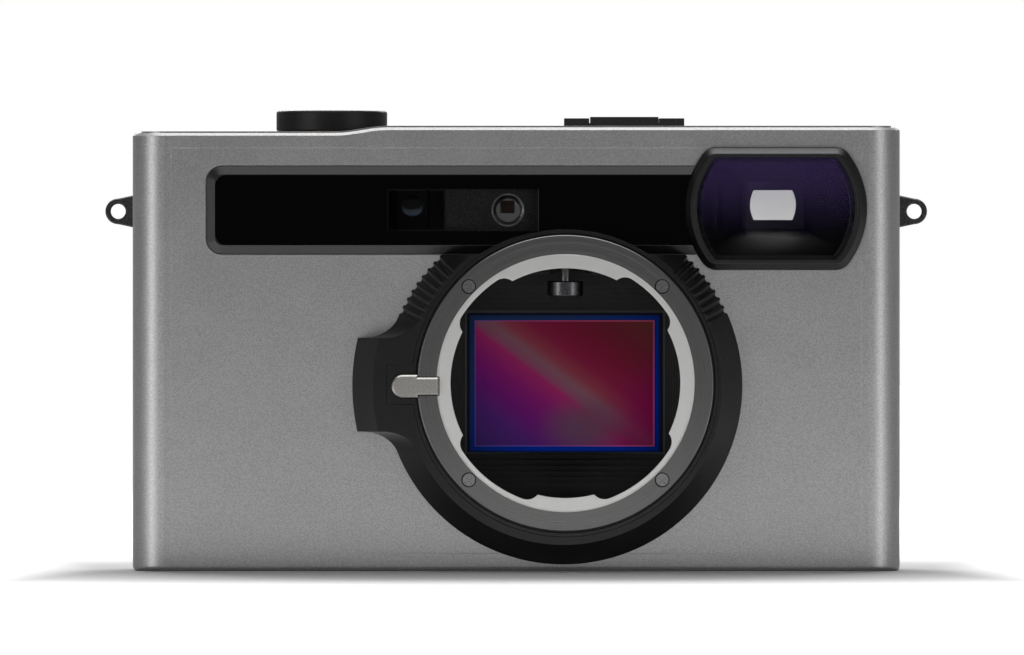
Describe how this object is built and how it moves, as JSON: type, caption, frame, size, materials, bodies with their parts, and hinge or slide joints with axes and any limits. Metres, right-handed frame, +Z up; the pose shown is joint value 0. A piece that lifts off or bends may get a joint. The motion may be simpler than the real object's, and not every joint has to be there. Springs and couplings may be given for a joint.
{
  "type": "digital rangefinder camera",
  "caption": "Camera body with an open lens mount, long rangefinder window, round-ended viewfinder, top dial and accessory shoe.",
  "frame": {"origin": "centre of the base", "axes": "+Z up, the front with the lens mount faces -Y, +X to the right of someone who looks at the front"},
  "size_m": [0.1484, 0.0415, 0.0828],
  "materials": {
    "silver_casing": "bead-blasted, anodised silver",
    "bright_aluminium": "turned, anodised",
    "black_aluminium": "black anodised",
    "flange_steel": "turned and plated",
    "steel": "plain",
    "dark_steel": "blackened",
    "brass": "plain",
    "gold_contact": "gold plated",
    "black_plastic": "matt moulded",
    "dark_glass": "coated, with a black rear coat",
    "clear_glass": "coated",
    "sensor_filter": "infrared cut filter",
    "sensor_die": "ceramic package with the die",
    "circuit_board": "solder resist",
    "battery_case": "moulded case",
    "mirror_coat": "front silvered"
  },
  "bodies": {
    "camera_body": {"body_shell": "silver_casing", "front_panel": "silver_casing", "top_plate": "silver_casing", "rear_cover": "silver_casing", "rear_screen": "dark_glass", "rear_cover_screws": "steel", "strap_lugs": "steel", "tripod_socket": "steel", "mount_surround": "black_aluminium", "mount_ring": "black_aluminium", "bayonet_flange": "flange_steel", "flange_screws": "steel", "bayonet_spring": "dark_steel", "release_leaf_spring": "dark_steel", "window_frame": "black_aluminium", "window_glass": "dark_glass", "viewfinder_frame": "black_aluminium", "viewfinder_front_lens": "dark_glass", "viewfinder_tunnel": "black_plastic", "beam_splitter": "clear_glass", "eyepiece_ring": "black_aluminium", "eyepiece_lens": "clear_glass", "rf_window_mask": "black_plastic", "rf_arm_spring": "steel", "rf_mirror": "mirror_coat", "rangefinder_chassis": "black_aluminium", "meter_housing": "black_plastic", "meter_reflector": "bright_aluminium", "meter_cell": "dark_glass", "light_baffle": "black_plastic", "sensor_chip": "sensor_die", "sensor_cover_glass": "sensor_filter", "sensor_board": "circuit_board", "sensor_bracket": "steel", "sensor_screws": "steel", "main_board": "circuit_board", "dial_bearing": "brass", "shutter_spring": "steel", "shutter_switch": "black_plastic", "hot_shoe": "black_aluminium", "shoe_spring": "steel", "shoe_contacts": "gold_contact", "shoe_screws": "steel", "button_board": "circuit_board", "battery": "battery_case", "battery_bay": "black_plastic", "battery_contacts": "gold_contact", "door_pin": "steel", "usb_socket": "steel"},
    "dial": {"speed_dial": "black_aluminium"},
    "shutter_key": {"shutter_button": "black_aluminium"},
    "lens_key": {"lens_release_button": "bright_aluminium"},
    "follower": {"rf_arm": "steel", "rf_lens": "clear_glass"},
    "roller": {"rf_roller": "bright_aluminium"},
    "door": {"battery_door": "silver_casing"},
    "latch": {"door_latch": "bright_aluminium"},
    "power_key": {"power_button": "black_aluminium"},
    "plus_key": {"plus_button": "black_aluminium"},
    "minus_key": {"minus_button": "black_aluminium"}
  },
  "joints": [
    {"name": "dial_turn", "type": "hinge", "parent": "camera_body", "child": "dial", "pos_m": [-0.03329, 0, 0.081], "axis": [0, 0, 1], "continuous": true},
    {"name": "shutter_release", "type": "slide", "parent": "camera_body", "child": "shutter_key", "axis": [0, 0, -1], "range_m": [0, 0.0012], "stiffness_N_per_m": 800, "springref_m": -0.0004, "deforming": ["shutter_spring"]},
    {"name": "lens_release", "type": "slide", "parent": "camera_body", "child": "lens_key", "axis": [0, 1, 0], "range_m": [0, 0.002], "stiffness_N_per_m": 900, "springref_m": -0.0005},
    {"name": "follower_swing", "type": "hinge", "parent": "camera_body", "child": "follower", "pos_m": [-0.01868, -0.007, 0.055], "axis": [0, 0, 1], "range_deg": [0, 8.5], "stiffness_Nm_per_rad": 0.02, "springref_deg": -8.59},
    {"name": "roller_spin", "type": "hinge", "parent": "follower", "child": "roller", "pos_m": [0.00882, -0.01507, 0.0505], "axis": [0, 0, 1], "continuous": true},
    {"name": "door_swing", "type": "hinge", "parent": "camera_body", "child": "door", "pos_m": [-0.061, -0.00425, 0.00125], "axis": [0, 1, 0], "range_deg": [0, 90]},
    {"name": "latch_slide", "type": "slide", "parent": "door", "child": "latch", "axis": [1, 0, 0], "range_m": [0, 0.0019]},
    {"name": "power_press", "type": "slide", "parent": "camera_body", "child": "power_key", "axis": [0, -1, 0], "range_m": [0, 0.0005], "stiffness_N_per_m": 2000, "springref_m": -0.0002},
    {"name": "plus_press", "type": "slide", "parent": "camera_body", "child": "plus_key", "axis": [0, -1, 0], "range_m": [0, 0.0005], "stiffness_N_per_m": 2000, "springref_m": -0.0002},
    {"name": "minus_press", "type": "slide", "parent": "camera_body", "child": "minus_key", "axis": [0, -1, 0], "range_m": [0, 0.0005], "stiffness_N_per_m": 2000, "springref_m": -0.0002}
  ]
}
